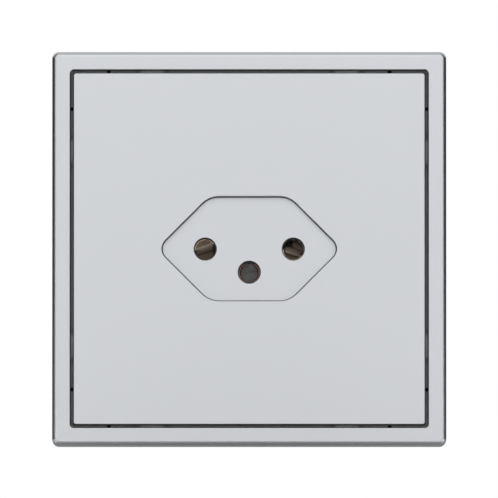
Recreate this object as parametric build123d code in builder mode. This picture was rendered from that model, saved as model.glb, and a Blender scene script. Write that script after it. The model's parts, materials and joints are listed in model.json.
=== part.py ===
from build123d import *
from math import cos, radians, sin
import os

os.makedirs("parts", exist_ok=True)

# Flush wall socket for three round pins, in a slim square frame.
# Sizes are in millimetres. X points right and Z up.
# The room is towards -Y, and the wall is the plane y = 0.

# Frame on the wall
frame_size = 85.0
frame_height = 10.0
frame_wall = 1.5
frame_bar = 3.2
frame_border = 3.875
frame_corner = 1.45
frame_edge = 1.0
opening_corner = 0.8
opening_edge = 0.2
groove_depth = 0.4
groove_width = 1.0
groove_drop = 1.6

# Cover plate with its hexagonal opening
cover_gap = 0.75
cover_thickness = 2.2
cover_corner = 0.5
cover_edge = 0.15
skirt_wall = 1.0
rib_wall = 1.2
rib_height = 1.4
recess_tip_to_tip = 39.93
recess_height = 22.6
recess_tip_radius = 2.65
recess_flat_radius = 5.2
recess_edge = 0.15
collar_wall = 1.5

# Insert that closes the opening and takes the pins
recess_depth = 2.0
insert_thickness = 2.0
insert_gap = 0.2
insert_lip = 1.1
insert_lip_thickness = 0.8
insert_play = 0.1
peg_shift = 15.0
peg_radius = 0.9
peg_length = 1.2
peg_fit = 0.1

# Pins of the plug
pin_spacing = 19.0
earth_offset = 5.0
pin_hole_radius = 2.5
carrier_hole_radius = 2.25

# Dark frame that holds the cover and the outer frame
rim_fit = 0.2
rim_thickness = 1.6
rim_overlap = 1.5
lip_width = 0.7
inner_wall = 0.9
notch_shift = 30.3
notch_length = 0.8
notch_width = 0.52
notch_margin = 0.15
well_wall = 0.5
well_depth = 2.4
well_floor = 0.6
bow_shift = 21.0
bow_length = 5.8
bow_rise = 0.45
bow_slot_length = 0.8
bow_slot_depth = 0.7
leg_shift = 12.0
leg_width = 6.0
leg_thickness = 0.8
leg_height = 1.8
clip_fit = 0.1
clip_depth = 0.45

# Hooks behind the cover plate
hook_shift = 26.0
hook_width = 5.0
hook_thickness = 1.0
hook_fit = 0.2
barb_height = 0.7

# Steel support ring
ring_thickness = 1.0
ring_fit = 0.25
ring_margin = 0.3
flange_length = 40.0
flange_height = 3.6
fold_radius = 0.8
window_width = 5.4
window_height = 1.2
window_level = 2.0
box_screw_spacing = 60.0
box_slot_length = 7.0
box_slot_radius = 2.1

# Insulating body, which fits between the box screws
box_screw_room = 6.0
body_chamfer = 8.0
body_edge = 0.8
body_depth = 24.0
housing_depth = 11.0
carrier_lip = 1.4
carrier_flange_corner = 1.5
carrier_flange_thickness = 1.6
block_margin = 1.0
block_height = 36.0
block_corner = 3.0
carrier_gap = 0.1
carrier_front_wall = 2.0
chamber_radius = 3.4
channel_fit = 0.2

# Contacts
strip_thickness = 0.6
strip_width = 9.0
bend_radius = 0.7
web_reach = 3.2
sleeve_gap = 0.8
sleeve_radius = 2.12
sleeve_wall = 0.25
hood_level = 0.6
hood_length = 2.4
slit_width = 0.5
slit_length = 12.0
grip_tilt = 17.5
leaf_thickness = 0.35
leaf_set_back = 0.6
leaf_level = 1.04
leaf_nose_radius = 1.5
leaf_nose_width = 3.6
leaf_tail_width = 2.4
leaf_tail_length = 10.2
leaf_slope = 12.5
guard_set_back = 0.6
guard_slant = 0.6
earth_sleeve_wall = 0.4
earth_mouth_radius = 2.05
earth_pinch_radius = 1.85
earth_pinch_set_back = 1.0
earth_root_radius = 2.5
earth_root_set_back = 8.0
earth_slit_width = 2.0

# Terminals in their pockets at the sides of the housing
terminal_length = 6.0
terminal_width = 10.0
terminal_fit = 0.8
nut_thickness = 3.0
wire_space = 2.2
clamp_thickness = 1.2
screw_head_radius = 2.9
screw_head_height = 2.0
screw_slot_width = 0.8
screw_slot_depth = 1.0
thread_radius = 1.5
thread_fit = 0.05
screw_tip = 0.8
screw_tip_spare = 0.4
pocket_sink = 10.8
pocket_lip = 0.8
pocket_back_wall = 1.8
pocket_fit = 1.0
arm_fit = 0.8
wire_hole_radius = 1.2
wire_hole_shift = 3.3
wire_funnel = 0.5
tail_fit = 0.4

# Fasteners
rivet_margin = 2.4
rivet_radius = 1.45
rivet_head_radius = 2.3
rivet_head_height = 0.8
rivet_fit = 0.05
housing_screw_inset = 8.0
housing_screw_corner = 10.0
housing_screw_radius = 1.25
housing_screw_fit = 0.05
housing_screw_grip = 7.0
pilot_spare = 1.0
housing_head_radius = 2.6
housing_head_height = 1.9
housing_head_fit = 0.3
housing_head_sink = 2.2

# Earth strap
strap_thickness = 0.8
strap_width = 3.0
strap_fit = 0.25
strap_foot = 4.35
strap_bend_radius = 0.9
strap_short = 0.4
strap_seat = 0.05
strap_rivet_margin = 1.6
strap_rivet_radius = 1.2
strap_rivet_head_radius = 1.6
strap_rivet_head_height = 0.7

# Sizes that follow from the ones above
room = Plane.XZ
room_way = Vector(0, -1, 0)
depth_way = Vector(0, 1, 0)
rim_front = frame_height - frame_bar
rim_back = rim_front - rim_thickness
groove_height = rim_back - groove_drop
frame_inside = frame_size - 2 * frame_wall
groove_size = frame_inside + 2 * groove_depth
opening_size = frame_size - 2 * frame_border
cover_size = opening_size - 2 * cover_gap
cover_inside = cover_size - 2 * skirt_wall
plate_back = frame_height - cover_thickness
recess_level = frame_height - recess_depth
insert_back = recess_level - insert_thickness
collar_back = insert_back + insert_lip_thickness + insert_play
rim_outside = frame_inside - 2 * rim_fit
rim_inside = cover_size - 2 * rim_overlap
inner_wall_inside = rim_inside + 2 * lip_width
inner_wall_outside = inner_wall_inside + 2 * inner_wall
notch_line = cover_size / 2 + notch_margin + notch_width / 2
bow_slot_shift = (bow_length + bow_slot_length) / 2
leg_line = (rim_outside - leg_thickness) / 2
leg_end = rim_back - leg_height
clip_level = groove_height + clip_fit
clip_height = groove_width - 2 * clip_fit
ring_size = inner_wall_inside + 2 * ring_margin
flange_inside = inner_wall_outside / 2 + clip_fit
flange_outside = flange_inside + ring_thickness
hook_line = rim_inside / 2 - hook_fit - hook_thickness / 2
barb_reach = lip_width
barb_top = rim_back - clip_fit
body_size = box_screw_spacing - 2 * box_screw_room
body_side = body_size / 2
split_depth = body_depth - housing_depth
carrier_flange_size = body_size + 2 * carrier_lip
carrier_flange_front = ring_thickness + carrier_flange_thickness
carrier_front = insert_back - carrier_gap
chamber_front = carrier_front - carrier_front_wall
sleeve_front = chamber_front - sleeve_gap
web_front = split_depth - strip_thickness
earth_pinch_depth = earth_pinch_set_back - sleeve_front
earth_root_depth = earth_root_set_back - sleeve_front
live_point = (-pin_spacing / 2, 0)
neutral_point = (pin_spacing / 2, 0)
earth_point = (0, -earth_offset)
pin_points = (live_point, neutral_point, earth_point)
peg_points = ((-peg_shift, 0), (peg_shift, 0))

# Terminals, measured outwards from the middle of the socket
nut_inner = body_side - pocket_sink
screw_end = nut_inner - screw_tip
tail_inner = nut_inner + nut_thickness
tail_outer = tail_inner + strip_thickness
clamp_inner = tail_outer + wire_space
clamp_outer = clamp_inner + clamp_thickness
pocket_reach = tail_outer + arm_fit
pocket_width = terminal_width + 2 * pocket_fit
pocket_front = split_depth + pocket_lip
pocket_back = body_depth - pocket_back_wall
terminal_depth = pocket_back - terminal_fit - terminal_length / 2
tail_end = pocket_back - tail_fit
web_middle = split_depth - strip_thickness / 2
tail_middle = tail_inner + strip_thickness / 2

# Fasteners and the earth strap
rivet_place = (body_size - body_chamfer) / 2 + rivet_margin
rivet_points = [
    (-rivet_place, -rivet_place),
    (-rivet_place, rivet_place),
    (rivet_place, -rivet_place),
    (rivet_place, rivet_place),
]
housing_screw_side = body_side - housing_screw_corner
housing_screw_reach = split_depth - housing_screw_grip
housing_screw_points = [
    (0, body_side - housing_screw_inset),
    (-housing_screw_side, -housing_screw_side),
    (housing_screw_side, -housing_screw_side),
]
strap_place = thread_radius + thread_fit + strap_fit + strap_width / 2
strap_line = body_side + strap_fit + strap_thickness / 2
strap_top = strap_line + strap_foot
strap_rise = pocket_front + strap_fit + strap_thickness / 2
strap_end = tail_end - strap_short
strap_rivet_point = (strap_place, strap_rivet_margin - strap_top)
strap_inner_line = tail_outer + strap_seat + strap_thickness / 2

# The way out to each terminal, and the distance of its pin from the middle
outward = {"live": Vector(-1, 0, 0), "neutral": Vector(1, 0, 0), "earth": Vector(0, 0, -1)}
pin_distance = {"live": pin_spacing / 2, "neutral": pin_spacing / 2, "earth": earth_offset}
arm_planes = {
    pole: Plane((0, 0, 0), x_dir=way, z_dir=way.cross(depth_way)) for pole, way in outward.items()
}
terminal_planes = {
    pole: Plane((0, terminal_depth, 0), x_dir=depth_way, z_dir=way) for pole, way in outward.items()
}

# The grip leaves are tilted, and the neutral one is the mirror image of the live one
tilt_x = cos(radians(grip_tilt))
tilt_z = sin(radians(grip_tilt))
grip_planes = {
    "live": Plane((-pin_spacing / 2, 0, 0), x_dir=(tilt_x, 0, tilt_z), z_dir=room_way),
    "neutral": Plane((pin_spacing / 2, 0, 0), x_dir=(-tilt_x, 0, tilt_z), z_dir=room_way),
}

# The leaf's round nose faces the pin, and its tail runs back from the end of the nose
nose_centre = (leaf_set_back + leaf_nose_radius - sleeve_front, leaf_level)
nose_end = (
    nose_centre[0] + leaf_nose_radius * sin(radians(leaf_slope)),
    nose_centre[1] - leaf_nose_radius * cos(radians(leaf_slope)),
)

# The guard behind the leaf's edge slants back from the sleeve
guard_front = guard_set_back - sleeve_front
guard_back = guard_front + guard_slant

# Outline of the opening in the cover
tip = recess_tip_to_tip / 2
top = recess_height / 2
with BuildSketch() as recess_outline:
    with BuildLine():
        Polyline(
            (-tip, 0),
            (top - tip, top),
            (tip - top, top),
            (tip, 0),
            (tip - top, -top),
            (top - tip, -top),
            close=True,
        )
    make_face()
    tips = recess_outline.vertices().sort_by(Axis.X)
    fillet([tips[0], tips[-1]], recess_tip_radius)
    flats = recess_outline.vertices().filter_by(lambda corner: abs(abs(corner.Y) - top) < 0.001)
    fillet(flats, recess_flat_radius)

with BuildSketch() as collar_outline:
    add(recess_outline.sketch)
    offset(amount=collar_wall)

# Outline of the insulating body
with BuildSketch() as body_outline:
    Rectangle(body_size, body_size)
    chamfer(body_outline.vertices(), body_chamfer)

# Cover frame
with BuildPart() as cover_frame:
    with BuildSketch(room):
        RectangleRounded(frame_size, frame_size, frame_corner)
    extrude(amount=frame_height)
    with BuildSketch(room):
        RectangleRounded(frame_inside, frame_inside, opening_corner)
    extrude(amount=rim_front, mode=Mode.SUBTRACT)
    with BuildSketch(room.offset(groove_height)):
        RectangleRounded(groove_size, groove_size, opening_corner)
    extrude(amount=groove_width, mode=Mode.SUBTRACT)
    with BuildSketch(room.offset(frame_height)):
        RectangleRounded(opening_size, opening_size, opening_corner)
    extrude(amount=-frame_bar, mode=Mode.SUBTRACT)
    fillet(faces().sort_by(Axis.Y)[0].outer_wire().edges(), frame_edge)
    fillet(faces().sort_by(Axis.Y)[0].inner_wires().edges(), opening_edge)
cover_frame.part.label = "cover_frame"
export_step(cover_frame.part, "parts/cover_frame.step")

# Retaining frame
with BuildPart() as retaining_frame:
    with BuildSketch(room.offset(rim_back)):
        RectangleRounded(rim_outside, rim_outside, opening_corner)
        RectangleRounded(rim_inside, rim_inside, cover_corner, mode=Mode.SUBTRACT)
    extrude(amount=rim_thickness)
    with BuildSketch(room.offset(ring_thickness)):
        RectangleRounded(inner_wall_outside, inner_wall_outside, opening_corner)
        RectangleRounded(inner_wall_inside, inner_wall_inside, cover_corner, mode=Mode.SUBTRACT)
    extrude(amount=rim_back - ring_thickness)
    # Legs that clip into the groove of the cover frame
    with BuildSketch(room.offset(leg_end)):
        with PolarLocations(leg_line, 4):
            with Locations((0, leg_shift), (0, -leg_shift)):
                Rectangle(leg_thickness, leg_width)
    extrude(amount=leg_height)
    with BuildSketch(room.offset(clip_level)):
        with PolarLocations((rim_outside + clip_depth) / 2, 4):
            with Locations((0, leg_shift), (0, -leg_shift)):
                Rectangle(clip_depth, leg_width)
    extrude(amount=clip_height)
    # Clips that snap into the windows of the support ring
    with BuildSketch(room.offset(window_level + clip_fit)):
        with PolarLocations((inner_wall_outside + clip_depth) / 2, 4):
            with Locations((0, leg_shift), (0, -leg_shift)):
                Rectangle(clip_depth, window_width - 2 * clip_fit)
    extrude(amount=window_height - 2 * clip_fit)
    # Notches, each with a closed well behind it
    with BuildSketch(room.offset(rim_back)):
        with PolarLocations(notch_line, 4):
            with Locations((0, notch_shift), (0, -notch_shift)):
                Rectangle(notch_width + 2 * well_wall, notch_length + 2 * well_wall)
    extrude(amount=-well_depth)
    with BuildSketch(room.offset(rim_front)):
        with PolarLocations(notch_line, 4):
            with Locations((0, notch_shift), (0, -notch_shift)):
                Rectangle(notch_width, notch_length)
    extrude(amount=well_floor - well_depth - rim_thickness, mode=Mode.SUBTRACT)
    # Bow springs between the cover and the frame, with a shallow slot at each end
    with BuildSketch(room.offset(rim_front)):
        with PolarLocations(notch_line, 4):
            with Locations((0, bow_shift), (0, -bow_shift)):
                with Locations((0, bow_slot_shift), (0, -bow_slot_shift)):
                    Rectangle(notch_width, bow_slot_length)
    extrude(amount=-bow_slot_depth, mode=Mode.SUBTRACT)
    for side in range(4):
        side_way = Vector(1, 0, 0).rotate(Axis.Y, 90 * side)
        along_way = room_way.cross(side_way)
        for shift in (-bow_shift, bow_shift):
            bow_centre = side_way * notch_line + along_way * shift + room_way * rim_front
            with BuildSketch(Plane(bow_centre, x_dir=along_way, z_dir=side_way)):
                with BuildLine():
                    bow_back = ThreePointArc((-bow_length / 2, 0), (0, bow_rise), (bow_length / 2, 0))
                    Line(bow_back @ 1, bow_back @ 0)
                make_face()
            extrude(amount=notch_width / 2, both=True)
retaining_frame.part.label = "retaining_frame"
export_step(retaining_frame.part, "parts/retaining_frame.step")

# Cover plate
with BuildPart() as cover_plate:
    with BuildSketch(room.offset(plate_back)):
        RectangleRounded(cover_size, cover_size, cover_corner)
    extrude(amount=cover_thickness)
    with BuildSketch(room.offset(rim_front)):
        RectangleRounded(cover_size, cover_size, cover_corner)
        Rectangle(cover_inside, cover_inside, mode=Mode.SUBTRACT)
    extrude(amount=plate_back - rim_front)
    # Ribs, and a collar round the opening that holds the insert
    with BuildSketch(room.offset(plate_back - rib_height)):
        Rectangle(cover_inside - 2 * skirt_wall, rib_wall)
        Rectangle(rib_wall, cover_inside - 2 * skirt_wall)
        add(collar_outline.sketch, mode=Mode.SUBTRACT)
    extrude(amount=rib_height)
    with BuildSketch(room.offset(collar_back)):
        add(collar_outline.sketch)
    extrude(amount=plate_back - collar_back)
    with BuildSketch(room.offset(collar_back)):
        add(recess_outline.sketch)
    extrude(amount=frame_height - collar_back, mode=Mode.SUBTRACT)
    # Hooks that snap behind the lip of the retaining frame
    with BuildSketch(room.offset(barb_top - barb_height)):
        with PolarLocations(hook_line, 4):
            with Locations((0, hook_shift), (0, -hook_shift)):
                Rectangle(hook_thickness, hook_width)
    extrude(amount=plate_back - barb_top + barb_height)
    with BuildSketch(room.offset(barb_top - barb_height)):
        with PolarLocations(hook_line + (hook_thickness + barb_reach) / 2, 4):
            with Locations((0, hook_shift), (0, -hook_shift)):
                Rectangle(barb_reach, hook_width)
    extrude(amount=barb_height)
    fillet(faces().sort_by(Axis.Y)[0].outer_wire().edges(), cover_edge)
    fillet(faces().sort_by(Axis.Y)[0].inner_wires().edges(), recess_edge)
cover_plate.part.label = "cover_plate"
export_step(cover_plate.part, "parts/cover_plate.step")

# Recess insert, held between the collar of the cover and the contact carrier
with BuildPart() as recess_insert:
    with BuildSketch(room.offset(insert_back)):
        add(recess_outline.sketch)
        offset(amount=insert_lip)
    extrude(amount=insert_lip_thickness)
    with BuildSketch(room.offset(insert_back)):
        add(recess_outline.sketch)
        offset(amount=-insert_gap)
    extrude(amount=insert_thickness)
    with BuildSketch(room.offset(insert_back)):
        with Locations(*peg_points):
            Circle(peg_radius)
    extrude(amount=-peg_length)
    with BuildSketch(room.offset(insert_back)):
        with Locations(*pin_points):
            Circle(pin_hole_radius)
    extrude(amount=insert_thickness, mode=Mode.SUBTRACT)
recess_insert.part.label = "recess_insert"
export_step(recess_insert.part, "parts/recess_insert.step")

# Support ring
with BuildPart() as support_ring:
    with BuildSketch(room):
        RectangleRounded(ring_size, ring_size, opening_corner)
        Rectangle(2 * flange_outside, flange_length)
        Rectangle(flange_length, 2 * flange_outside)
    extrude(amount=ring_thickness)
    with BuildSketch(room):
        with PolarLocations((flange_inside + flange_outside) / 2, 4):
            Rectangle(ring_thickness, flange_length)
    extrude(amount=flange_height)
    folds = edges().filter_by(
        lambda edge: abs(edge.center().Y) < 0.001 and abs(edge.length - flange_length) < 0.001
    )
    fillet(folds, fold_radius)
    with BuildSketch(room):
        add(body_outline.sketch)
        offset(amount=ring_fit, kind=Kind.INTERSECTION)
    extrude(amount=ring_thickness, mode=Mode.SUBTRACT)
    with BuildSketch(room):
        with Locations((-box_screw_spacing / 2, 0), (box_screw_spacing / 2, 0)):
            SlotOverall(box_slot_length, 2 * box_slot_radius)
        with Locations(*rivet_points):
            Circle(rivet_radius + rivet_fit)
        with Locations(strap_rivet_point):
            Circle(strap_rivet_radius + rivet_fit)
    extrude(amount=ring_thickness, mode=Mode.SUBTRACT)
    with BuildSketch(room.offset(window_level)):
        with PolarLocations((flange_inside + flange_outside) / 2, 4):
            with Locations((0, leg_shift), (0, -leg_shift)):
                Rectangle(2 * ring_thickness, window_width)
    extrude(amount=window_height, mode=Mode.SUBTRACT)
support_ring.part.label = "support_ring"
export_step(support_ring.part, "parts/support_ring.step")

# Contact carrier
with BuildPart() as contact_carrier:
    with BuildSketch(room.offset(-split_depth)):
        add(body_outline.sketch)
    extrude(amount=split_depth + ring_thickness)
    with BuildSketch(room.offset(ring_thickness)):
        RectangleRounded(carrier_flange_size, carrier_flange_size, carrier_flange_corner)
        with Locations(*rivet_points):
            Circle(rivet_radius + rivet_fit, mode=Mode.SUBTRACT)
    extrude(amount=carrier_flange_thickness)
    with BuildSketch(room.offset(carrier_flange_front)):
        RectangleRounded(body_size - 2 * block_margin, block_height, block_corner)
    extrude(amount=carrier_front - carrier_flange_front)
    with BuildSketch(room.offset(carrier_front)):
        with Locations(*pin_points):
            Circle(carrier_hole_radius)
    extrude(amount=-carrier_front_wall, mode=Mode.SUBTRACT)
    with BuildSketch(room.offset(carrier_front)):
        with Locations(*peg_points):
            Circle(peg_radius + peg_fit)
    extrude(amount=-peg_length, mode=Mode.SUBTRACT)
    with BuildSketch(room.offset(-split_depth)):
        with Locations(*pin_points):
            Circle(chamber_radius)
    extrude(amount=split_depth + chamber_front, mode=Mode.SUBTRACT)
    # Channels for the arms of the contacts
    for pole, arm_plane in arm_planes.items():
        channel_start = pin_distance[pole] - web_reach - channel_fit
        with BuildSketch(arm_plane):
            with Locations(((channel_start + pocket_reach) / 2, web_middle)):
                Rectangle(pocket_reach - channel_start, strip_thickness + 2 * channel_fit)
        extrude(amount=strip_width / 2 + channel_fit, both=True, mode=Mode.SUBTRACT)
    with BuildSketch(room.offset(-split_depth)):
        with Locations(*housing_screw_points):
            Circle(housing_screw_radius + housing_screw_fit)
    extrude(amount=split_depth - housing_screw_reach + pilot_spare, mode=Mode.SUBTRACT)
contact_carrier.part.label = "contact_carrier"
export_step(contact_carrier.part, "parts/contact_carrier.step")

# Rear housing
with BuildPart() as rear_housing:
    with BuildSketch(room.offset(-body_depth)):
        add(body_outline.sketch)
    extrude(amount=body_depth - split_depth)
    fillet(faces().sort_by(Axis.Y)[-1].edges(), body_edge)
    # Terminal pockets, open at the sides, with a way in for the arms
    for arm_plane in arm_planes.values():
        with BuildSketch(arm_plane):
            with BuildLine():
                Polyline(
                    (nut_inner, split_depth),
                    (pocket_reach, split_depth),
                    (pocket_reach, pocket_front),
                    (body_side, pocket_front),
                    (body_side, pocket_back),
                    (nut_inner, pocket_back),
                    close=True,
                )
            make_face()
        extrude(amount=pocket_width / 2, both=True, mode=Mode.SUBTRACT)
    for plane in terminal_planes.values():
        with BuildSketch(plane.offset(nut_inner)):
            Circle(thread_radius + thread_fit)
        extrude(amount=-screw_tip - screw_tip_spare, mode=Mode.SUBTRACT)
    # Wire entries in the back, two to a pole, one of the earth pair being taken by the strap
    wire_line = tail_outer + wire_space / 2
    wire_points = [
        (-wire_line, wire_hole_shift),
        (-wire_line, -wire_hole_shift),
        (wire_line, wire_hole_shift),
        (wire_line, -wire_hole_shift),
        (-wire_hole_shift, -wire_line),
    ]
    with BuildSketch(room.offset(-body_depth)):
        with Locations(*wire_points):
            Circle(wire_hole_radius)
    extrude(amount=body_depth - pocket_back, mode=Mode.SUBTRACT)
    funnels = edges().filter_by(GeomType.CIRCLE).filter_by(
        lambda edge: abs(edge.center().Y - body_depth) < 0.001
    )
    chamfer(funnels, wire_funnel)
    with BuildSketch(room.offset(-body_depth)):
        with Locations(*housing_screw_points):
            Circle(housing_screw_radius + housing_screw_fit)
    extrude(amount=body_depth - split_depth, mode=Mode.SUBTRACT)
    with BuildSketch(room.offset(-body_depth)):
        with Locations(*housing_screw_points):
            Circle(housing_head_radius + housing_head_fit)
    extrude(amount=housing_head_sink, mode=Mode.SUBTRACT)
rear_housing.part.label = "rear_housing"
export_step(rear_housing.part, "parts/rear_housing.step")

# Live and neutral contacts
for pole, grip_plane in grip_planes.items():
    leaf_plane = Plane(grip_plane.origin, x_dir=depth_way, z_dir=depth_way.cross(grip_plane.y_dir))
    with BuildPart() as guard:
        with BuildSketch(leaf_plane):
            with BuildLine():
                Line((guard_front, sleeve_radius), (guard_back, leaf_level))
            trace(line_width=sleeve_wall)
        extrude(amount=sleeve_radius, both=True)
        with BuildSketch(grip_plane.offset(-web_front)):
            Circle(sleeve_radius + sleeve_wall / 2)
        extrude(amount=web_front + sleeve_front, mode=Mode.INTERSECT)

    with BuildPart() as pin_contact:
        # Arm to the terminal
        with BuildSketch(arm_planes[pole]):
            with BuildLine():
                FilletPolyline(
                    (pin_distance[pole] - web_reach, web_middle),
                    (tail_middle, web_middle),
                    (tail_middle, tail_end),
                    radius=bend_radius,
                )
            trace(line_width=strip_thickness)
        extrude(amount=strip_width / 2, both=True)
        with BuildSketch(terminal_planes[pole].offset(tail_outer)):
            Circle(thread_radius + thread_fit)
        extrude(amount=-strip_thickness, mode=Mode.SUBTRACT)
        # Split sleeve
        with BuildSketch(grip_plane.offset(-split_depth)):
            Circle(sleeve_radius + sleeve_wall)
        extrude(amount=split_depth + sleeve_front)
        with BuildSketch(grip_plane.offset(-web_front)):
            Circle(sleeve_radius)
        extrude(amount=web_front + sleeve_front, mode=Mode.SUBTRACT)
        with BuildSketch(grip_plane.offset(sleeve_front)):
            with Locations((0, -sleeve_radius)):
                Rectangle(slit_width, sleeve_radius)
        extrude(amount=-slit_length, mode=Mode.SUBTRACT)
        # The half away from the grip leaf starts further back
        with BuildSketch(grip_plane.offset(sleeve_front)):
            with Locations((0, hood_level)):
                Rectangle(web_reach * 2, web_reach, align=(Align.CENTER, Align.MAX))
        extrude(amount=-hood_length, mode=Mode.SUBTRACT)
        # Grip leaf with a round nose that guides the pin
        with BuildSketch(leaf_plane):
            with BuildLine():
                CenterArc(nose_centre, leaf_nose_radius, 180, 90 + leaf_slope)
            trace(line_width=leaf_thickness)
        extrude(amount=leaf_nose_width / 2, both=True)
        with BuildSketch(leaf_plane):
            with BuildLine():
                PolarLine(nose_end, leaf_tail_length, leaf_slope)
            trace(line_width=leaf_thickness)
        extrude(amount=leaf_tail_width / 2, both=True)
        add(guard.part)
    pin_contact.part.label = f"{pole}_contact"
    export_step(pin_contact.part, f"parts/{pole}_contact.step")

# Earth contact
earth_axis = Axis((0, 0, -earth_offset), depth_way)
with BuildPart() as earth_contact:
    with BuildSketch(arm_planes["earth"]):
        with BuildLine():
            FilletPolyline(
                (earth_offset - web_reach, web_middle),
                (tail_middle, web_middle),
                (tail_middle, tail_end),
                radius=bend_radius,
            )
        trace(line_width=strip_thickness)
    extrude(amount=strip_width / 2, both=True)
    with BuildSketch(terminal_planes["earth"].offset(tail_outer)):
        Circle(thread_radius + thread_fit)
    extrude(amount=-strip_thickness, mode=Mode.SUBTRACT)
    # Split sleeve, narrowest a little way behind its mouth
    with BuildSketch(Plane.XY.offset(-earth_offset)):
        with BuildLine():
            Polyline(
                (earth_mouth_radius, -sleeve_front),
                (earth_pinch_radius, earth_pinch_depth),
                (earth_root_radius, earth_root_depth),
                (earth_root_radius, split_depth),
                (earth_root_radius + earth_sleeve_wall, split_depth),
                (earth_root_radius + earth_sleeve_wall, earth_root_depth),
                (earth_pinch_radius + earth_sleeve_wall, earth_pinch_depth),
                (earth_mouth_radius + earth_sleeve_wall, -sleeve_front),
                close=True,
            )
        make_face()
    revolve(axis=earth_axis)
    with BuildSketch(room.offset(sleeve_front)):
        with Locations(earth_point):
            Rectangle(earth_slit_width, 2 * web_reach)
    extrude(amount=-slit_length, mode=Mode.SUBTRACT)
earth_contact.part.label = "earth_contact"
export_step(earth_contact.part, "parts/earth_contact.step")

# Terminal nuts, clamp plates and screws
for pole, plane in terminal_planes.items():
    with BuildPart() as terminal_nut:
        with BuildSketch(plane.offset(nut_inner)):
            Rectangle(terminal_length, terminal_width)
            Circle(thread_radius + thread_fit, mode=Mode.SUBTRACT)
        extrude(amount=nut_thickness)
    terminal_nut.part.label = f"{pole}_nut"
    export_step(terminal_nut.part, f"parts/{pole}_nut.step")

    with BuildPart() as clamp_plate:
        with BuildSketch(plane.offset(clamp_inner)):
            RectangleRounded(terminal_length, terminal_width, clamp_thickness / 2)
            Circle(thread_radius + thread_fit, mode=Mode.SUBTRACT)
        extrude(amount=clamp_thickness)
    clamp_plate.part.label = f"{pole}_clamp"
    export_step(clamp_plate.part, f"parts/{pole}_clamp.step")

    with BuildPart() as terminal_screw:
        with BuildSketch(plane.offset(screw_end)):
            Circle(thread_radius)
        extrude(amount=clamp_outer - screw_end)
        with BuildSketch(plane.offset(clamp_outer)):
            Circle(screw_head_radius)
        extrude(amount=screw_head_height)
        with BuildSketch(plane.offset(clamp_outer + screw_head_height)):
            Rectangle(2 * screw_head_radius, screw_slot_width)
        extrude(amount=-screw_slot_depth, mode=Mode.SUBTRACT)
    terminal_screw.part.label = f"{pole}_screw"
    export_step(terminal_screw.part, f"parts/{pole}_screw.step")

# Earth strap from the ring to the earth terminal
with BuildPart() as earth_strap:
    with BuildSketch(Plane.YZ.offset(strap_place)):
        with BuildLine():
            FilletPolyline(
                (strap_thickness / 2, -strap_top),
                (strap_thickness / 2, -strap_line),
                (strap_rise, -strap_line),
                (strap_rise, -strap_inner_line),
                (strap_end, -strap_inner_line),
                radius=strap_bend_radius,
            )
        trace(line_width=strap_thickness)
    extrude(amount=strap_width / 2, both=True)
    with BuildSketch(room):
        with Locations(strap_rivet_point):
            Circle(strap_rivet_radius + rivet_fit)
    extrude(amount=-strap_thickness, mode=Mode.SUBTRACT)
earth_strap.part.label = "earth_strap"
export_step(earth_strap.part, "parts/earth_strap.step")

with BuildPart() as strap_rivet:
    with BuildSketch(room.offset(-strap_thickness)):
        with Locations(strap_rivet_point):
            Circle(strap_rivet_radius)
    extrude(amount=strap_thickness + ring_thickness)
    with BuildSketch(room.offset(ring_thickness)):
        with Locations(strap_rivet_point):
            Circle(strap_rivet_head_radius)
    extrude(amount=strap_rivet_head_height)
    with BuildSketch(room.offset(-strap_thickness - strap_rivet_head_height)):
        with Locations(strap_rivet_point):
            Circle(strap_rivet_head_radius)
    extrude(amount=strap_rivet_head_height)
strap_rivet.part.label = "strap_rivet"
export_step(strap_rivet.part, "parts/strap_rivet.step")

# Rivets through the carrier and the ring, flush at the back
with BuildPart() as ring_rivets:
    with BuildSketch(room):
        with Locations(*rivet_points):
            Circle(rivet_radius)
    extrude(amount=carrier_flange_front)
    with BuildSketch(room.offset(carrier_flange_front)):
        with Locations(*rivet_points):
            Circle(rivet_head_radius)
    extrude(amount=rivet_head_height)
ring_rivets.part.label = "ring_rivets"
export_step(ring_rivets.part, "parts/ring_rivets.step")

# Screws through the two halves of the body
with BuildPart() as housing_screws:
    with BuildSketch(room.offset(-body_depth + housing_head_sink)):
        with Locations(*housing_screw_points):
            Circle(housing_screw_radius)
    extrude(amount=body_depth - housing_head_sink - housing_screw_reach)
    with BuildSketch(room.offset(-body_depth + housing_head_sink)):
        with Locations(*housing_screw_points):
            Circle(housing_head_radius)
    extrude(amount=-housing_head_height)
    with BuildSketch(room.offset(-body_depth + housing_head_sink - housing_head_height)):
        with Locations(*housing_screw_points):
            Rectangle(2 * housing_head_radius, screw_slot_width)
    extrude(amount=screw_slot_depth, mode=Mode.SUBTRACT)
housing_screws.part.label = "housing_screws"
export_step(housing_screws.part, "parts/housing_screws.step")
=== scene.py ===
import json
import math

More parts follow.
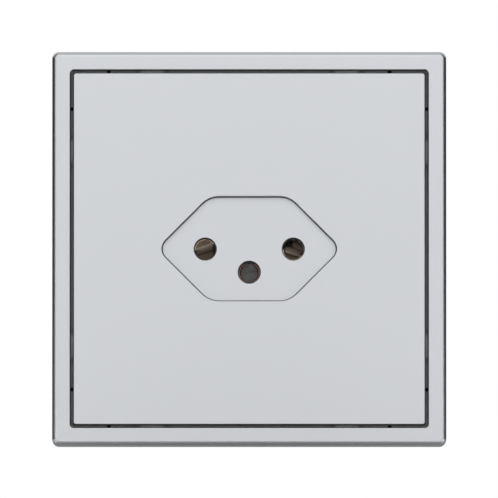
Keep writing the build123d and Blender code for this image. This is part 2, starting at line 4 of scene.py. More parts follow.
import bpy
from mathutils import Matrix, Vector


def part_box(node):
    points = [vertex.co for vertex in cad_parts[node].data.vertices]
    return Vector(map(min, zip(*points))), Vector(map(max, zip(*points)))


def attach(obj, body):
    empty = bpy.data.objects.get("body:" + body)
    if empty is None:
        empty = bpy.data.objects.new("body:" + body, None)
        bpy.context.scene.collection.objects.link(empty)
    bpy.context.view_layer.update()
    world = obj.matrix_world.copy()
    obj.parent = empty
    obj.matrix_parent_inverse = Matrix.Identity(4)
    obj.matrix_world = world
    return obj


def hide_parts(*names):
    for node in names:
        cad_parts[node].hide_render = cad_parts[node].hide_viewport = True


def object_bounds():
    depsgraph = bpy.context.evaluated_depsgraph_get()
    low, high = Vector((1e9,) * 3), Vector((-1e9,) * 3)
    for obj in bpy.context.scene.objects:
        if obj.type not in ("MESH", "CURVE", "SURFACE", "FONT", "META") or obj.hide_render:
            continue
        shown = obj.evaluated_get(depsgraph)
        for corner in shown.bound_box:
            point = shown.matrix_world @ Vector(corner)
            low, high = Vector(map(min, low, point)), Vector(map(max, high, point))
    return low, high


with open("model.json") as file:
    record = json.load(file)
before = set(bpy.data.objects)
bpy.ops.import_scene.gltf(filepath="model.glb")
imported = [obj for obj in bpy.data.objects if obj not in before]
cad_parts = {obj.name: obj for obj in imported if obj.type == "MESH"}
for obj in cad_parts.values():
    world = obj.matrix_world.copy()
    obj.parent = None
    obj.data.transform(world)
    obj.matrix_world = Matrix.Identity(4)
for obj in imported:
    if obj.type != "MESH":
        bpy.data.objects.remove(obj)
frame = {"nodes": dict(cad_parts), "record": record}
cad_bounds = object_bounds()
nodes = frame["nodes"]
scene = bpy.context.scene
mm = 0.001
X, Y, Z = range(3)

# Levels and places from the frame; only the width of the gap is set here
face = cad_bounds[0][Y]
cover_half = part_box("cover_plate")[1][X]
gap_width = 0.75 * mm
gap_middle = cover_half + gap_width / 2.0
opening_half = cover_half + gap_width
spring_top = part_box("retaining_frame")[0][Y]
recess_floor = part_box("recess_insert")[0][Y]
contact_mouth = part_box("live_contact")[0][Y]
body_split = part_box("rear_housing")[0][Y]
mounts = {mount["name"]: Vector(mount["pos_m"]) for mount in frame["record"]["mounts"]}
pin_aside = mounts["neutral_pin"][X]
pin_level = mounts["neutral_pin"][Z]
earth_level = mounts["earth_pin"][Z]


def grey(tone):
    return (tone, tone, tone)


white = grey(1.0)


class Tree:
    """A short way to add nodes and links to a node tree."""

    def __init__(self, tree):
        self.tree = tree

    def add(self, kind, inputs=None, **settings):
        node = self.tree.nodes.new(kind)
        for name, value in settings.items():
            setattr(node, name, value)
        for key, value in (inputs or {}).items():
            self.feed(node.inputs[key], value)
        return node

    def feed(self, socket, value):
        """Link a socket to another one, or set its value; three numbers set an opaque colour."""
        if isinstance(value, bpy.types.NodeSocket):
            self.tree.links.new(value, socket)
        elif socket.type == "RGBA":
            socket.default_value = (*value, 1.0)
        else:
            socket.default_value = value

    def calc(self, operation, *values):
        node = self.add("ShaderNodeMath", operation=operation)
        for socket, value in zip(node.inputs, values):
            self.feed(socket, value)
        return node.outputs[0]

    def times(self, first, *others):
        product = first
        for other in others:
            product = self.calc("MULTIPLY", product, other)
        return product

    def minus(self, a, b):
        return self.calc("SUBTRACT", a, b)

    def larger(self, a, b):
        return self.calc("MAXIMUM", a, b)

    def absolute(self, value):
        return self.calc("ABSOLUTE", value)

    def line(self, value, slope, start):
        return self.calc("MULTIPLY_ADD", value, slope, start)

    def span(self, value, low, high, to_low=0.0, to_high=1.0):
        """Turn a value between low and high smoothly into one between two others."""
        limits = {"From Min": low, "From Max": high, "To Min": to_low, "To Max": to_high}
        node = self.add("ShaderNodeMapRange", {"Value": value, **limits}, interpolation_type="SMOOTHSTEP")
        return node.outputs["Result"]

    def fade(self, mask, without, within):
        return self.span(mask, 0.0, 1.0, without, within)

    def mix(self, factor, a, b, blend="MIX"):
        node = self.add("ShaderNodeMix", {0: factor}, data_type="RGBA", blend_type=blend)
        colours = [socket for socket in node.inputs if socket.type == "RGBA"]
        self.feed(colours[0], a)
        self.feed(colours[1], b)
        return next(socket for socket in node.outputs if socket.type == "RGBA")

    def toned(self, colour, tone):
        return self.mix(1.0, colour, tone, blend="MULTIPLY")

    def place(self):
        return self.add("ShaderNodeTexCoord").outputs["Object"]

    def noise(self, scale, detail=2.0, distortion=0.0):
        settings = {"Vector": self.place(), "Scale": scale, "Detail": detail, "Distortion": distortion}
        return self.add("ShaderNodeTexNoise", settings).outputs[0]

    def cells(self, scale):
        colour = self.add("ShaderNodeTexVoronoi", {"Vector": self.place(), "Scale": scale}).outputs["Color"]
        return self.add("ShaderNodeSeparateColor", {0: colour}).outputs[0]

    def axis(self, letter):
        return self.add("ShaderNodeSeparateXYZ", {0: self.place()}).outputs[letter]

    def facing(self, letter):
        normal = self.add("ShaderNodeNewGeometry").outputs["Normal"]
        return self.add("ShaderNodeSeparateXYZ", {0: normal}).outputs[letter]

    def outward(self):
        """How far out a point lies on the square face of the socket."""
        return self.larger(self.absolute(self.axis("X")), self.absolute(self.axis("Z")))


# Effects that more than one material uses
value_socket = "NodeSocketFloat"
colour_socket = "NodeSocketColor"


def shader_group(name, inputs, outputs):
    """Start a shader node group; three numbers make a colour input, and one a value input."""
    tree = bpy.data.node_groups.new(name, "ShaderNodeTree")
    for label, value in inputs.items():
        is_colour = isinstance(value, tuple)
        kind = colour_socket if is_colour else value_socket
        socket = tree.interface.new_socket(label, in_out="INPUT", socket_type=kind)
        socket.default_value = (*value, 1.0) if is_colour else value
    for label, kind in outputs.items():
        tree.interface.new_socket(label, in_out="OUTPUT", socket_type=kind)
    group = Tree(tree)
    return group, group.add("NodeGroupInput").outputs, group.add("NodeGroupOutput").inputs


def fine_grain_group():
    """A relief for the bump, and a tone close to one."""
    inputs = {"Scale": 2500.0, "Spread": 0.02}
    g, taken, given = shader_group("fine_grain", inputs, {"Height": value_socket, "Tone": value_socket})
    grain = g.noise(taken["Scale"], detail=3.0)
    g.feed(given["Height"], grain)
    g.feed(given["Tone"], g.line(g.minus(grain, 0.5), taken["Spread"], 1.0))
    return g.tree


def handling_marks_group():
    """Faint smears that catch the light."""
    g, taken, given = shader_group("handling_marks", {"Amount": 0.5}, {"Mask": value_socket})
    smears = g.span(g.noise(45.0), 0.45, 0.75)
    streaks = g.span(g.noise(380.0, detail=4.0, distortion=1.6), 0.4, 0.75)
    g.feed(given["Mask"], g.times(smears, streaks, taken["Amount"]))
    return g.tree


def settled_dust_group():
    """Dust on faces that look up."""
    g, taken, given = shader_group("settled_dust", {"Amount": 0.3}, {"Mask": value_socket})
    upward = g.span(g.facing("Z"), 0.4, 0.95)
    flecks = g.span(g.noise(900.0, detail=4.0), 0.35, 0.7)
    g.feed(given["Mask"], g.times(upward, flecks, taken["Amount"]))
    return g.tree


def tarnish_group():
    """Dull patches and small specks on bare metal."""
    inputs = {"Bright": (0.6, 0.5, 0.3), "Dull": (0.2, 0.15, 0.1), "Amount": 0.6}
    g, taken, given = shader_group("tarnish", inputs, {"Color": colour_socket, "Mask": value_socket})
    patches = g.span(g.noise(320.0, detail=4.0, distortion=0.8), 0.4, 0.7)
    specks = g.span(g.noise(2200.0), 0.66, 0.76)
    spoiled = g.times(g.larger(patches, specks), taken["Amount"])
    g.feed(given["Color"], g.mix(spoiled, taken["Bright"], taken["Dull"]))
    g.feed(given["Mask"], spoiled)
    return g.tree


def plating_group():
    """Small zinc crystals with a faint blue and yellow cast."""
    inputs = {"Metal": grey(0.6)}
    g, taken, given = shader_group("plating", inputs, {"Color": colour_socket, "Mask": value_socket})
    cast = g.span(g.noise(240.0, detail=3.0, distortion=0.5), 0.3, 0.7)
    tint = g.mix(cast, (0.92, 0.96, 1.0), (1.0, 0.97, 0.88))
    g.feed(given["Color"], g.toned(taken["Metal"], tint))
    g.feed(given["Mask"], g.cells(2600.0))
    return g.tree


fine_grain = fine_grain_group()
handling_marks = handling_marks_group()
settled_dust = settled_dust_group()
tarnish = tarnish_group()
plating = plating_group()


class Surface(Tree):
    """A material with its main shader, and the shared effects as short calls."""

    def __init__(self, name):
        self.material = bpy.data.materials.new(name)
        self.material.use_nodes = True
        super().__init__(self.material.node_tree)
        self.shader = self.tree.nodes["Principled BSDF"]

    def effect(self, group, **inputs):
        return self.add("ShaderNodeGroup", inputs, node_tree=group).outputs

    def set(self, **inputs):
        for label, value in inputs.items():
            self.feed(self.shader.inputs[label.replace("_", " ")], value)

    def relief(self, height, depth):
        bump = self.add("ShaderNodeBump", {"Height": height, "Distance": depth, "Strength": 1.0})
        self.feed(self.shader.inputs["Normal"], bump.outputs["Normal"])


def frame_metal():
    """Satin anodised aluminium with smoother edges, dust on top and painted shade on the walls of the
    opening.
    """
    s = Surface("frame_metal")
    grain = s.effect(fine_grain, Scale=5200.0, Spread=0.03)
    marks = s.effect(handling_marks, Amount=0.5)["Mask"]
    dust = s.effect(settled_dust, Amount=0.12)["Mask"]
    silver = s.toned((0.8, 0.82, 0.85), grain["Tone"])
    dusty = s.mix(dust, silver, (0.5, 0.49, 0.47))
    opening = s.span(s.outward(), opening_half + 0.275 * mm, opening_half + 0.075 * mm)
    walls = s.span(s.facing("Y"), -0.8, -0.3)
    less_overhead = s.span(s.facing("Z"), -0.9, -0.5, 0.3, 1.0)
    # Painted shade: the walls of the opening are darkened nearly to black, less on the walls that face down
    painted_gap_shade = s.times(opening, walls, less_overhead)
    s.set(Base_Color=s.mix(painted_gap_shade, dusty, grey(0.03)), Metallic=1.0)
    edge_polish = s.span(s.facing("Y"), -0.98, -0.8, 1.0, 0.75)
    s.set(Roughness=s.times(edge_polish, s.fade(marks, 0.38, 0.41)))
    s.relief(grain["Height"], depth=0.0006 * mm)
    return s.material


def cover_lacquer():
    """Silver lacquer on the front faces, over dark plastic that is bare at the back and on the walls turned
    away from the front, where it is painted shade in the gaps and the recess.
    """
    s = Surface("cover_lacquer")
    grain = s.effect(fine_grain, Scale=4300.0, Spread=0.03)
    marks = s.effect(handling_marks, Amount=0.5)["Mask"]
    depth = s.axis("Y")
    turned_away = s.span(s.facing("Y"), -0.6, -0.2)
    past_edge = s.span(depth, face + 0.1 * mm, face + 1.6 * mm)
    inside = s.span(depth, recess_floor + 0.2 * mm, recess_floor + 0.5 * mm)
    # Dark bare plastic at the back, and painted shade on the walls of the gaps and the recess
    bare = s.larger(s.times(turned_away, past_edge), inside)
    silver = s.toned((0.826, 0.847, 0.878), grain["Tone"])
    plastic = s.toned((0.05, 0.051, 0.053), grain["Tone"])
    s.set(Base_Color=s.mix(bare, silver, plastic), Metallic=s.minus(1.0, bare))
    s.set(Roughness=s.line(bare, 0.15, s.fade(marks, 0.4, 0.43)))
    s.relief(grain["Height"], depth=0.0006 * mm)
    return s.material


def moulded_plastic(name, colour, roughness, dusty):
    """Moulded plastic with the fine texture of its mould."""
    s = Surface(name)
    grain = s.effect(fine_grain, Scale=1800.0, Spread=0.16)
    marks = s.effect(handling_marks, Amount=0.6)["Mask"]
    dust = s.effect(settled_dust, Amount=dusty)["Mask"]
    s.set(Base_Color=s.mix(dust, s.toned(colour, grain["Tone"]), (0.5, 0.48, 0.45)))
    s.set(Roughness=s.fade(marks, roughness, roughness - 0.12))
    s.relief(grain["Height"], depth=0.004 * mm)
    return s.material


def dark_plastic():
    """Dark moulded plastic, greyed by dust in the middle of the gap, with painted shade beside the walls of
    the gap and deeper than the wells, and a painted highlight on the crests of the springs.
    """
    s = Surface("dark_plastic")
    grain = s.effect(fine_grain, Scale=1800.0, Spread=0.16)
    marks = s.effect(handling_marks, Amount=0.6)["Mask"]
    depth = s.axis("Y")
    off_middle = s.absolute(s.minus(s.outward(), gap_middle))
    # Painted shade: the floor of the gap is dark beside its walls and greyed by dust in the middle
    shade_beside_walls = s.span(off_middle, 0.1 * mm, 0.36 * mm)
    deep_shaded_plastic = s.toned((0.03, 0.03, 0.031), grain["Tone"])
    dust = s.toned(s.mix(shade_beside_walls, grey(0.66), grey(0.09)), grain["Tone"])
    # Painted shade: deeper than the wells the plastic stays dark, without dust
    above_wells = s.span(depth, spring_top + 2.04 * mm, spring_top + 1.14 * mm)
    springs = s.span(depth, spring_top + 0.42 * mm, spring_top + 0.19 * mm)
    # Painted highlight: the crests of the springs are near white in the middle of the gap
    spring_highlight = s.times(springs, s.minus(1.0, shade_beside_walls))
    s.set(Base_Color=s.mix(spring_highlight, s.mix(above_wells, deep_shaded_plastic, dust), (0.95, 0.95, 0.94)))
    s.set(Roughness=s.fade(marks, 0.5, 0.4))
    s.relief(grain["Height"], depth=0.004 * mm)
    return s.material


def bare_metal(name, bright, dull, roughness):
    """Pressed or sawn brass with dull patches."""
    s = Surface(name)
    worn = s.effect(tarnish, Bright=bright, Dull=dull, Amount=0.6)
    grain = s.effect(fine_grain, Scale=6000.0, Spread=0.08)
    s.set(Base_Color=s.toned(worn["Color"], grain["Tone"]), Metallic=1.0)
    s.set(Roughness=s.fade(worn["Mask"], roughness, roughness + 0.15))
    s.relief(grain["Height"], depth=0.0008 * mm)
    return s.material


def contact_brass():
    """Brass of the contacts: golden on the rim, dull at the mouth, smoother deeper in; painted shadow
    darkens the sides towards the middle and the upper inner part of the neutral contact, and painted shade
    its lower part.
    """
    s = Surface("contact_brass")
    worn = s.effect(tarnish, Bright=(1.0, 0.83, 0.65), Dull=(0.8, 0.65, 0.5), Amount=0.5)
    grain = s.effect(fine_grain, Scale=6000.0, Spread=0.08)
    across = s.axis("X")
    depth = s.axis("Y")
    height = s.axis("Z")
    neutral = s.span(across, 0.0, 1.0 * mm)
    # Painted shade: the lower part of the neutral contact is darkened
    shade = s.times(neutral, s.span(height, pin_level + 0.4 * mm, pin_level - 1.2 * mm, 0.0, 0.67))
    brass = s.toned(worn["Color"], s.times(grain["Tone"], s.minus(1.0, shade)))
    # Painted shadow: the sides towards the middle of the socket and the upper inner part of the neutral
    # contact are near black
    inner_side = s.span(s.absolute(across), pin_aside - 1.4 * mm, pin_aside - 2.0 * mm)
    inner_half = s.span(across, pin_aside + 0.1 * mm, pin_aside - 0.3 * mm)
    upper_half = s.span(height, pin_level + 0.5 * mm, pin_level + 1.0 * mm)
    painted_shadow = s.larger(inner_side, s.times(inner_half, upper_half, neutral))
    shadowed_brass = s.mix(s.times(painted_shadow, 0.8), brass, (0.03, 0.025, 0.02))
    front_edge = s.span(depth, contact_mouth + 0.12 * mm, contact_mouth + 0.02 * mm)
    rim = s.times(front_edge, s.span(s.noise(600.0), 0.36, 0.5))
    deep = s.span(depth, contact_mouth + 3.6 * mm, contact_mouth + 8.1 * mm)
    s.set(Base_Color=s.mix(rim, shadowed_brass, (0.95, 0.72, 0.45)))
    s.set(Metallic=s.larger(rim, s.line(deep, 0.6, 0.4)))
    s.set(Roughness=s.line(rim, -0.3, s.line(deep, -0.08, s.fade(worn["Mask"], 0.5, 0.56))))
    s.relief(grain["Height"], depth=0.0008 * mm)
    return s.material


def tinned_copper():
    """Copper alloy with a tin coat, worn through at the mouth of the sleeve and darker inside it, most
    towards the bottom.
    """
    s = Surface("earth_copper")
    tin = s.effect(tarnish, Bright=(0.62, 0.62, 0.61), Dull=(0.45, 0.45, 0.44), Amount=0.6)
    copper = s.effect(tarnish, Bright=(0.95, 0.5, 0.42), Dull=(0.78, 0.4, 0.34), Amount=0.6)
    depth = s.axis("Y")
    height = s.axis("Z")
    mouth = s.span(depth, contact_mouth + 0.5 * mm, contact_mouth + 0.2 * mm)
    inside = s.span(depth, body_split + 1.0 * mm, body_split + 0.2 * mm)
    lower = s.span(height, earth_level - 2.5 * mm, earth_level + 0.5 * mm, 0.87, 0.68)
    upper = s.span(height, earth_level + 0.5 * mm, earth_level + 2.2 * mm, 1.0, 0.5)
    # Darker inside the sleeve, most towards the bottom
    coat = s.toned(tin["Color"], s.minus(1.0, s.times(inside, lower, upper)))
    s.set(Base_Color=s.mix(mouth, coat, copper["Color"]), Metallic=s.line(mouth, -0.6, 1.0))
    s.set(Roughness=s.line(mouth, 0.2, s.fade(tin["Mask"], 0.25, 0.3)))
    s.relief(s.effect(fine_grain, Scale=6000.0)["Height"], depth=0.0008 * mm)
    return s.material


def zinc_plate(name, metal, roughness):
    """Pressed or turned steel with a zinc coat."""
    s = Surface(name)
    coat = s.effect(plating, Metal=metal)
    marks = s.effect(handling_marks, Amount=0.7)["Mask"]
    s.set(Base_Color=coat["Color"], Metallic=1.0)
    s.set(Roughness=s.line(marks, 0.1, s.fade(coat["Mask"], roughness - 0.02, roughness + 0.04)))
    s.relief(s.effect(fine_grain, Scale=3000.0)["Height"], depth=0.0015 * mm)
    return s.material


looks = {
    "frame_metal": frame_metal(),
    "cover_lacquer": cover_lacquer(),
    "dark_plastic": dark_plastic(),
    "plated_steel": zinc_plate("plated_steel", (0.6, 0.61, 0.62), roughness=0.35),
    "carrier_plastic": moulded_plastic("carrier_plastic", (0.12, 0.12, 0.122), roughness=0.45, dusty=0.15),
    "housing_plastic": moulded_plastic("housing_plastic", (0.62, 0.63, 0.63), roughness=0.45, dusty=0.35),
    "contact_brass": contact_brass(),
    "earth_copper": tinned_copper(),
    "terminal_brass": bare_metal("terminal_brass", (0.65, 0.5, 0.28), (0.36, 0.25, 0.13), roughness=0.3),
    "clamp_steel": zinc_plate("clamp_steel", (0.58, 0.58, 0.57), roughness=0.32),
    "screw_steel": zinc_plate("screw_steel", (0.62, 0.62, 0.6), roughness=0.28),
    "strap_brass": bare_metal("strap_brass", (0.62, 0.48, 0.28), (0.35, 0.25, 0.14), roughness=0.32),
}
for part in frame["record"]["subparts"]:
    coats = nodes[part["node"]].data.materials
    coats.clear()
    coats.append(looks[part["material_slot"]])


# Screws and rivets, whose node groups take their sizes in millimetres
class Shape(Tree):
    """A geometry node group that puts one fastener on every point that it is given."""

    def __init__(self, name, sizes, **others):
        super().__init__(bpy.data.node_groups.new(name, "GeometryNodeTree"))
        kinds = {"Geometry": "Geometry", **dict.fromkeys(sizes, "Float"), **others}
        for label, kind in kinds.items():
            self.tree.interface.new_socket(label, in_out="INPUT", socket_type="NodeSocket" + kind)
        self.tree.interface.new_socket("Geometry", in_out="OUTPUT", socket_type="NodeSocketGeometry")
        self.taken = self.add("NodeGroupInput").outputs

    def vector(self, **parts):
        return self.add("ShaderNodeCombineXYZ", parts).outputs[0]

    def moved(self, geometry, **shift):
        settings = {"Geometry": geometry, "Translation": self.vector(**shift)}
        return self.add("GeometryNodeTransform", settings).outputs[0]

    def round_bar(self, radius, length, rings=1):
        """A closed cylinder about the origin, along Z."""
        sizes = {"Vertices": 48, "Side Segments": rings, "Radius": radius, "Depth": length}
        return self.add("GeometryNodeMeshCylinder", sizes).outputs["Mesh"]

    def turned_head(self, radius, height, rim):
        """A round head on z = 0, whose rim is rounded nearly up to the flat top."""
        blank = self.moved(self.round_bar(radius, height, rings=23), Z=self.times(height, 0.5))
        position = self.add("GeometryNodeInputPosition").outputs[0]
        level = self.add("ShaderNodeSeparateXYZ", {0: position}).outputs["Z"]
        into_rim = self.minus(level, self.minus(height, rim))
        arc_height = self.times(rim, 1.25)
        share = self.larger(self.calc("DIVIDE", into_rim, arc_height), 0.0)
        chord = self.calc("SQRT", self.minus(1.0, self.times(share, share)))
        inset = self.times(self.minus(1.0, chord), self.calc("DIVIDE", rim, radius))
        scale = self.minus(1.0, inset)
        factors = self.vector(X=scale, Y=scale, Z=1.0)
        scaled = self.add("ShaderNodeVectorMath", {0: position, 1: factors}, operation="MULTIPLY")
        rounded = scaled.outputs[0]
        return self.add("GeometryNodeSetPosition", {"Geometry": blank, "Position": rounded}).outputs[0]

    def aimed(self):
        return self.add("FunctionNodeEulerToRotation", {"Euler": self.taken["Turn"]}).outputs[0]

    def put_on_points(self, pieces, turn):
        """Join the pieces and put them, scaled to metres, on every point of the incoming geometry."""
        whole = self.add("GeometryNodeJoinGeometry")
        for piece in pieces:
            self.feed(whole.inputs[0], piece)
        settings = {"Points": self.taken["Geometry"], "Instance": whole.outputs[0], "Rotation": turn}
        copies = self.add("GeometryNodeInstanceOnPoints", {**settings, "Scale": (mm, mm, mm)}).outputs[0]
        solid = self.add("GeometryNodeRealizeInstances", {"Geometry": copies}).outputs[0]
        coated = {"Geometry": solid, "Material": self.taken["Material"]}
        done = self.add("GeometryNodeSetMaterial", coated).outputs[0]
        self.add("NodeGroupOutput", {"Geometry": done})

    def make(self, name, places, settings):
        """Run the group on loose points and keep the outcome as a plain mesh piece."""
        points = bpy.data.meshes.new(name + "_points")
        points.from_pydata(places, [], [])
        holder = bpy.data.objects.new(name + "_points", points)
        scene.collection.objects.link(holder)
        modifier = holder.modifiers.new(name, "NODES")
        modifier.node_group = self.tree
        for socket in self.tree.interface.items_tree:
            if socket.name in settings:
                modifier[socket.identifier] = settings[socket.name]
        depsgraph = bpy.context.evaluated_depsgraph_get()
        mesh = bpy.data.meshes.new_from_object(holder.evaluated_get(depsgraph))
        holder.modifiers.remove(modifier)
        bpy.data.objects.remove(holder)
        bpy.data.meshes.remove(points)
        mesh.name = name
        mesh.shade_smooth()
        mesh.set_sharp_from_angle(angle=math.radians(28.0))
        piece = bpy.data.objects.new(name, mesh)
        scene.collection.objects.link(piece)
        return piece


def threaded_shank(g):
    """A round bar that runs in a small circle about the axis, which gives it a thread."""
    size = g.taken
    off_axis = g.times(size["Thread Depth"], 0.5)
    bar = {"Resolution": 32, "Radius": g.minus(size["Shank Radius"], off_axis)}
    profile = g.moved(g.add("GeometryNodeCurvePrimitiveCircle", bar).outputs[0], X=off_axis)
    ends = {"Start": g.vector(Z=g.times(size["Shank Length"], -1.0)), "End": (0.0, 0.0, 0.0)}
    axis_line = g.add("GeometryNodeCurvePrimitiveLine", ends).outputs[0]
    turns = g.calc("DIVIDE", size["Shank Length"], size["Thread Pitch"])
    steps_per_turn = 16.0
    steps = g.line(turns, steps_per_turn, 2.0)
    stepped = g.add("GeometryNodeResampleCurve", {"Curve": axis_line, "Count": steps}).outputs[0]
    along = g.add("GeometryNodeSplineParameter").outputs["Factor"]
    twist = g.times(along, turns, 2.0 * math.pi)
    twisted = g.add("GeometryNodeSetCurveTilt", {"Curve": stepped, "Tilt": twist}).outputs[0]
    sweep = {"Curve": twisted, "Profile Curve": profile, "Fill Caps": True}
    return g.add("GeometryNodeCurveToMesh", sweep).outputs[0]


def slotted_head(g):
    """A turned head with a straight slot across its top."""
    size = g.taken
    head = g.turned_head(size["Head Radius"], size["Head Height"], size["Head Rim"])
    past_the_head = g.times(size["Head Radius"], 3.0)
    down_and_up = g.times(size["Slot Depth"], 2.0)
    cutter_size = g.vector(X=past_the_head, Y=size["Slot Width"], Z=down_and_up)
    block = g.add("GeometryNodeMeshCube", {"Size": cutter_size}).outputs["Mesh"]
    cut = {"Mesh 1": head, "Mesh 2": g.moved(block, Z=size["Head Height"])}
    return g.add("GeometryNodeMeshBoolean", cut, operation="DIFFERENCE").outputs[0]


def any_turn(g):
    """Each screw's own turn about its axis, drawn at random."""
    limits = {"Min": 0.0, "Max": math.pi, "Seed": g.taken["Seed"]}
    spin = g.add("FunctionNodeRandomValue", limits, data_type="FLOAT")
    angle = next(socket for socket in spin.outputs if socket.enabled)
    about_axis = {"Axis": (0.0, 0.0, 1.0), "Angle": angle}
    spun = g.add("FunctionNodeAxisAngleToRotation", about_axis).outputs[0]
    both = {"Rotation": g.aimed(), "Rotate By": spun}
    return g.add("FunctionNodeRotateRotation", both, rotation_space="LOCAL").outputs[0]


def slotted_screw_shape():
    """A slotted screw along Z, with the underside of its head at the point."""
    shank_sizes = ("Shank Radius", "Shank Length", "Thread Depth", "Thread Pitch")
    head_sizes = ("Head Radius", "Head Height", "Head Rim", "Slot Width", "Slot Depth")
    kinds = {"Turn": "Vector", "Seed": "Int", "Material": "Material"}
    g = Shape("slotted_screw", shank_sizes + head_sizes, **kinds)
    g.put_on_points([threaded_shank(g), slotted_head(g)], any_turn(g))
    return g


def domed_rivet_shape():
    """A rivet with a domed head, along Z, with the underside of its head at the point."""
    sizes = ("Shank Radius", "Shank Length", "Head Radius", "Head Height")
    g = Shape("domed_rivet", sizes, Turn="Vector", Material="Material")
    size = g.taken
    bar = g.round_bar(size["Shank Radius"], size["Shank Length"])
    shank = g.moved(bar, Z=g.times(size["Shank Length"], -0.5))
    dome = g.turned_head(size["Head Radius"], size["Head Height"], g.times(size["Head Height"], 0.8))
    g.put_on_points([shank, dome], g.aimed())
    return g


slotted_screw = slotted_screw_shape()
domed_rivet = domed_rivet_shape()
screw_slot = {"Slot Width": 0.8, "Slot Depth": 1.0, "Material": looks["screw_steel"]}
quarter = math.pi / 2.0


def fasten(piece, node):
    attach(piece, "root")
    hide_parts(node)


def terminal_screw(pole, way, side, turn, seed):
    """The screw of one terminal, whose head looks outwards."""
    low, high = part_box(pole + "_screw")
    inner, outer = (low[way], high[way]) if side > 0 else (high[way], low[way])
    head_height = 2.0
    seat = (low + high) / 2.0
    seat[way] = outer - side * head_height * mm
    screw = slotted_screw.make(pole + "_terminal_screw", [seat], {
        "Shank Radius": 1.5,
        "Shank Length": abs(seat[way] - inner) / mm,
        "Thread Depth": 0.25,
        "Thread Pitch": 0.6,
        "Head Radius": 2.9,
        "Head Height": head_height,
        "Head Rim": 0.5,
        "Turn": turn,
        "Seed": seed,
        **screw_slot,
    })
    fasten(screw, pole + "_screw")


def body_screws():
    """The three screws that hold the halves of the body together, from the back."""
    low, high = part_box("housing_screws")
    head_radius = 2.6
    head_height = 1.9
    seat = high[Y] - head_height * mm
    left = low[X] + head_radius * mm
    right = high[X] - head_radius * mm
    bottom = low[Z] + head_radius * mm
    top = high[Z] - head_radius * mm
    places = [((left + right) / 2.0, seat, top), (left, seat, bottom), (right, seat, bottom)]
    screws = slotted_screw.make("body_screws", places, {
        "Shank Radius": 1.25,
        "Shank Length": (seat - low[Y]) / mm,
        "Thread Depth": 0.3,
        "Thread Pitch": 1.0,
        "Head Radius": head_radius,
        "Head Height": head_height,
        "Head Rim": 0.7,
        "Turn": (-quarter, 0.0, 0.0),
        "Seed": 5,
        **screw_slot,
    })
    fasten(screws, "housing_screws")


def carrier_rivets():
    """The four rivets at the corners of the carrier, with their heads to the front."""
    low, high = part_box("ring_rivets")
    head_radius = 2.3
    head_height = 0.8
    seat = low[Y] + head_height * mm
    sides = (low[X] + head_radius * mm, high[X] - head_radius * mm)
    levels = (low[Z] + head_radius * mm, high[Z] - head_radius * mm)
    places = [(side, seat, level) for side in sides for level in levels]
    rivets = domed_rivet.make("carrier_rivets", places, {
        "Shank Radius": 1.45,
        "Shank Length": (high[Y] - seat) / mm,
        "Head Radius": head_radius,
        "Head Height": head_height,
        "Turn": (quarter, 0.0, 0.0),
        "Material": looks["screw_steel"],
    })
    fasten(rivets, "ring_rivets")


terminal_screw("live", X, side=-1, turn=(0.0, -quarter, 0.0), seed=4)
terminal_screw("neutral", X, side=1, turn=(0.0, quarter, 0.0), seed=9)
terminal_screw("earth", Z, side=-1, turn=(2.0 * quarter, 0.0, 0.0), seed=2)
body_screws()
carrier_rivets()


# Studio, in metres and watts
def softbox(name, place, aim, size, power, in_reflections):
    data = bpy.data.lights.new(name, "AREA")
    data.shape = "RECTANGLE"
    data.size, data.size_y = size
    data.energy = power
    light = bpy.data.objects.new(name, data)
    light.location = place
    light.rotation_mode = "QUATERNION"
    light.rotation_quaternion = (Vector(aim) - Vector(place)).to_track_quat("-Z", "Y")
    light.visible_camera = False
    light.visible_glossy = in_reflections
    scene.collection.objects.link(light)


def front_light(name, bottom, top, power):
    """An upright softbox across the front, which the faces of the socket reflect."""
    distance = 1.2
    width = 2.4
    height = (bottom + top) / 2.0
    place = (0.0, -distance, height)
    softbox(name, place, (0.0, 0.0, height), (width, top - bottom), power, in_reflections=True)


def fill_light(name, place, width, power):
    """A square softbox that looks at the socket and leaves no reflection in it."""
    softbox(name, place, (0.0, 0.0, 0.0), (width, width), power, in_reflections=False)


def studio_world():
    """White to the camera; else dim at the sides, with a pale glow from behind and above."""
    world = bpy.data.worlds.new("studio")
    world.use_nodes = True
    scene.world = world
    world.node_tree.nodes.clear()
    w = Tree(world.node_tree)
    way = w.add("ShaderNodeSeparateXYZ", {0: w.add("ShaderNodeTexCoord").outputs["Generated"]}).outputs
    height_tone = w.span(way["Z"], -0.2, 0.7, 0.2, 0.5)
    side_tone = w.span(w.absolute(way["X"]), 0.15, 0.6, 1.0, 0.05)
    behind = w.span(way["Y"], -0.35, 0.15)
    above = w.span(way["Z"], 0.12, 0.45, 0.0, 0.6)
    strength = w.larger(w.times(height_tone, side_tone), w.times(behind, above))
    around = w.add("ShaderNodeBackground", {"Color": white, "Strength": strength})
    seen = w.add("ShaderNodeBackground", {"Color": white, "Strength": 1.0})
    by_camera = w.add("ShaderNodeLightPath").outputs["Is Camera Ray"]
    both = w.add("ShaderNodeMixShader", {0: by_camera, 1: around.outputs[0], 2: seen.outputs[0]})
    w.add("ShaderNodeOutputWorld", {"Surface": both.outputs[0]})


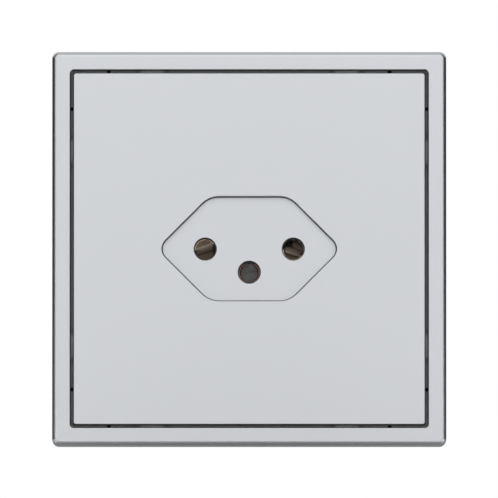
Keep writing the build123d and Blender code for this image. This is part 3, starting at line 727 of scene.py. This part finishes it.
def floor_paint():
    """Pale paint near the socket, fading to white further away; it is clear from below."""
    s = Surface("floor_paint")
    grain = s.effect(fine_grain, Scale=400.0, Spread=0.02)
    s.set(Base_Color=s.toned(grey(0.85), grain["Tone"]), Roughness=0.7)
    away = s.add("ShaderNodeVectorMath", {0: s.place()}, operation="LENGTH").outputs["Value"]
    plain = s.add("ShaderNodeEmission", {"Color": white, "Strength": 1.0}).outputs[0]
    faded = s.add("ShaderNodeMixShader", {0: s.span(away, 0.12, 0.6), 1: s.shader.outputs[0], 2: plain})
    clear = s.add("ShaderNodeBsdfTransparent").outputs[0]
    below = s.add("ShaderNodeNewGeometry").outputs["Backfacing"]
    whole = s.add("ShaderNodeMixShader", {0: below, 1: faded.outputs[0], 2: clear})
    s.feed(s.tree.nodes["Material Output"].inputs["Surface"], whole.outputs[0])
    return s.material


def board_paint():
    """Paint of the board that throws light up from below: grey, with a white patch at each side."""
    s = Surface("board_paint")
    grain = s.effect(fine_grain, Scale=400.0, Spread=0.04)
    aside = s.absolute(s.axis("X"))
    ahead = s.times(s.axis("Y"), -1.0)
    across = s.times(s.span(aside, 0.05, 0.09), s.span(aside, 0.33, 0.25))
    along = s.times(s.span(ahead, 0.02, 0.05), s.span(ahead, 0.33, 0.25))
    paint = s.mix(s.times(across, along), grey(0.175), grey(0.7))
    s.set(Base_Color=s.toned(paint, grain["Tone"]), Roughness=0.7)
    return s.material


def level_sheet(name, half, height, material):
    """A level square about the upright axis, half its width to each side."""
    mesh = bpy.data.meshes.new(name)
    corners = [(-half, -half, height), (half, -half, height), (half, half, height), (-half, half, height)]
    mesh.from_pydata(corners, [], [(0, 1, 2, 3)])
    mesh.materials.append(material)
    sheet = bpy.data.objects.new(name, mesh)
    scene.collection.objects.link(sheet)
    return sheet


def photograph_camera():
    """A camera far away on a long lens, a little below the socket."""
    data = bpy.data.cameras.new("camera")
    data.lens = 1500.0
    data.sensor_width = 36.0
    data.clip_start = 0.01
    data.clip_end = 100.0
    camera = bpy.data.objects.new("camera", data)
    scene.collection.objects.link(camera)
    scene.camera = camera
    rise = math.radians(-2.2)
    view_width = 107.4 * mm
    distance = view_width * data.lens / data.sensor_width
    aim = Vector((-0.054 * mm, face, -0.065 * mm))
    back = Vector((0.0, -math.cos(rise), math.sin(rise)))
    camera.location = aim + back * distance
    camera.rotation_mode = "QUATERNION"
    camera.rotation_quaternion = (-back).to_track_quat("-Z", "Y")


front_light("front_softbox", bottom=-0.075, top=0.55, power=3.92)
front_light("upper_softbox", bottom=0.55, top=1.425, power=3.2)
fill_light("left_back_softbox", (-0.9, 0.9, 0.8), width=0.8, power=8.0)
fill_light("right_back_softbox", (0.9, 0.9, 0.8), width=0.8, power=8.0)
fill_light("overhead_softbox", (0.0, 0.1, 1.4), width=1.2, power=14.0)
studio_world()

# The camera sees the floor under the socket, and the socket reflects the board further down
floor_level = cad_bounds[0][Z] - 0.2 * mm
board_drop = 32.0 * mm
floor = level_sheet("floor", half=6.0, height=floor_level, material=floor_paint())
floor.visible_glossy = False
floor.visible_diffuse = False
floor.visible_shadow = False
board = level_sheet("bounce_board", half=0.6, height=floor_level - board_drop, material=board_paint())
board.visible_camera = False
photograph_camera()
scene.view_settings.view_transform = "Standard"
